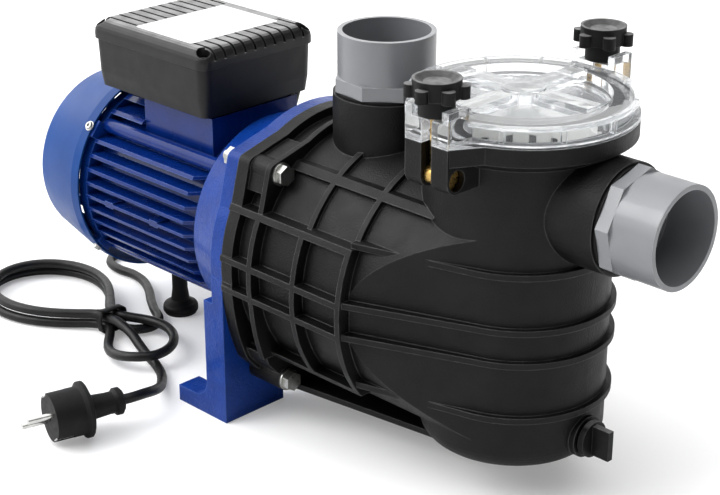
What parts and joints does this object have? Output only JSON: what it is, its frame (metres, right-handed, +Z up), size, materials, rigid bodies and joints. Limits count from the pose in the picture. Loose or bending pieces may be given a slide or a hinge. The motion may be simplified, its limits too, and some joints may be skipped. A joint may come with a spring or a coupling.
{
  "type": "pool pump",
  "caption": "Pool circulation pump: finned electric motor, cast bracket, ribbed plastic casing with a strainer pot under a clear lid, pipe adapters and a mains cord.",
  "frame": {"origin": "on the floor under the middle of the pump's box, without the cord and its plug", "axes": "+X towards the suction port, +Z up along the discharge port, +Y to the far side"},
  "size_m": [0.6657, 0.3701, 0.311],
  "materials": {
    "blue_gloss_paint": "gloss",
    "blue_satin_paint": "satin",
    "blue_cast_paint": "satin",
    "bare_aluminium": "satin",
    "lamination_steel": "satin",
    "copper_winding": "satin",
    "plain_steel": "satin",
    "zinc_steel": "satin",
    "plated_metal": "polished",
    "brass": "satin",
    "black_casing_plastic": "matte",
    "black_box_plastic": "satin",
    "pale_plastic": "satin",
    "grey_pvc": "satin",
    "clear_plastic": "gloss",
    "seal_ceramic": "satin",
    "black_rubber": "matte",
    "cord_rubber": "satin"
  },
  "bodies": {
    "pump": {"motor_frame": "blue_gloss_paint", "rear_end_shield": "bare_aluminium", "fan_cover": "blue_satin_paint", "pump_bracket": "blue_cast_paint", "stator_core": "lamination_steel", "stator_winding": "copper_winding", "tie_rods": "zinc_steel", "front_bearing_outer_ring": "plain_steel", "rear_bearing_outer_ring": "plain_steel", "fan_cover_screws": "zinc_steel", "terminal_box_gasket": "black_rubber", "terminal_box": "black_box_plastic", "terminal_box_lid": "black_box_plastic", "terminal_lid_screws": "zinc_steel", "terminal_block": "pale_plastic", "run_capacitor": "pale_plastic", "cable_gland": "black_box_plastic", "support_foot": "black_rubber", "seal_plate": "black_casing_plastic", "casing_o_ring": "black_rubber", "seal_seat": "seal_ceramic", "diffuser": "black_casing_plastic", "pump_casing": "black_casing_plastic", "casing_bolts": "zinc_steel", "casing_washers": "zinc_steel", "casing_nuts": "zinc_steel", "drain_plug_o_ring": "black_rubber", "lid_o_ring": "black_rubber", "pivot_pins": "brass", "discharge_gasket": "black_rubber", "discharge_adapter": "grey_pvc", "suction_gasket": "black_rubber", "suction_adapter": "grey_pvc", "cord_lead": "cord_rubber", "cord_hank": "cord_rubber", "cord_tail": "cord_rubber", "cord_tie": "black_box_plastic", "plug_body": "cord_rubber", "plug_pins": "plated_metal", "plug_earth_contacts": "plated_metal"},
    "rotor": {"motor_shaft": "plain_steel", "rotor_core": "lamination_steel", "cooling_fan": "black_box_plastic", "impeller": "black_casing_plastic", "impeller_nut": "brass", "front_bearing_inner_ring": "plain_steel", "rear_bearing_inner_ring": "plain_steel", "seal_head": "plain_steel", "slinger": "black_rubber"},
    "bearing_balls": {"front_bearing_balls": "plain_steel", "rear_bearing_balls": "plain_steel"},
    "lid": {"strainer_lid": "clear_plastic"},
    "basket": {"strainer_basket": "pale_plastic"},
    "left_bolt": {"left_swing_bolt": "brass"},
    "right_bolt": {"right_swing_bolt": "brass"},
    "left_insert": {"left_knob_insert": "brass"},
    "right_insert": {"right_knob_insert": "brass"},
    "left_knob": {"left_knob": "black_box_plastic"},
    "right_knob": {"right_knob": "black_box_plastic"},
    "drain_plug": {"drain_plug": "black_casing_plastic"}
  },
  "joints": [
    {"name": "rotor_spin", "type": "hinge", "parent": "pump", "child": "rotor", "pos_m": [0, 0, 0.126], "axis": [1, 0, 0], "continuous": true},
    {"name": "ball_orbit", "type": "hinge", "parent": "pump", "child": "bearing_balls", "pos_m": [0, 0, 0.126], "axis": [1, 0, 0], "continuous": true},
    {"name": "lid_lift", "type": "slide", "parent": "pump", "child": "lid", "axis": [0, 0, 1], "range_m": [0, 0.3]},
    {"name": "basket_lift", "type": "slide", "parent": "pump", "child": "basket", "axis": [0, 0, 1], "range_m": [0, 0.18]},
    {"name": "left_bolt_swing", "type": "hinge", "parent": "pump", "child": "left_bolt", "pos_m": [0.16075, -0.0843, 0.2465], "axis": [1, 0, 0], "range_deg": [0, 100]},
    {"name": "right_bolt_swing", "type": "hinge", "parent": "pump", "child": "right_bolt", "pos_m": [0.16075, 0.0843, 0.2465], "axis": [-1, 0, 0], "range_deg": [0, 100]},
    {"name": "left_knob_off", "type": "slide", "parent": "left_bolt", "child": "left_insert", "axis": [0, 0, 1], "range_m": [0, 0.315]},
    {"name": "right_knob_off", "type": "slide", "parent": "right_bolt", "child": "right_insert", "axis": [0, 0, 1], "range_m": [0, 0.315]},
    {"name": "left_knob_turn", "type": "hinge", "parent": "left_insert", "child": "left_knob", "pos_m": [0.16075, -0.0843, 0.2965], "axis": [0, 0, 1], "continuous": true},
    {"name": "right_knob_turn", "type": "hinge", "parent": "right_insert", "child": "right_knob", "pos_m": [0.16075, 0.0843, 0.2965], "axis": [0, 0, 1], "continuous": true},
    {"name": "drain_plug_turn", "type": "hinge", "parent": "pump", "child": "drain_plug", "pos_m": [0.23075, 0, 0.05], "axis": [1, 0, 0], "continuous": true}
  ],
  "couplings": [
    {"joint": "ball_orbit", "follows": "rotor_spin", "ratio": 0.38},
    {"joint": "basket_lift", "follows": "lid_lift", "ratio": 0.6},
    {"joint": "left_knob_off", "follows": "lid_lift", "ratio": 1.05},
    {"joint": "right_knob_off", "follows": "lid_lift", "ratio": 1.05}
  ]
}
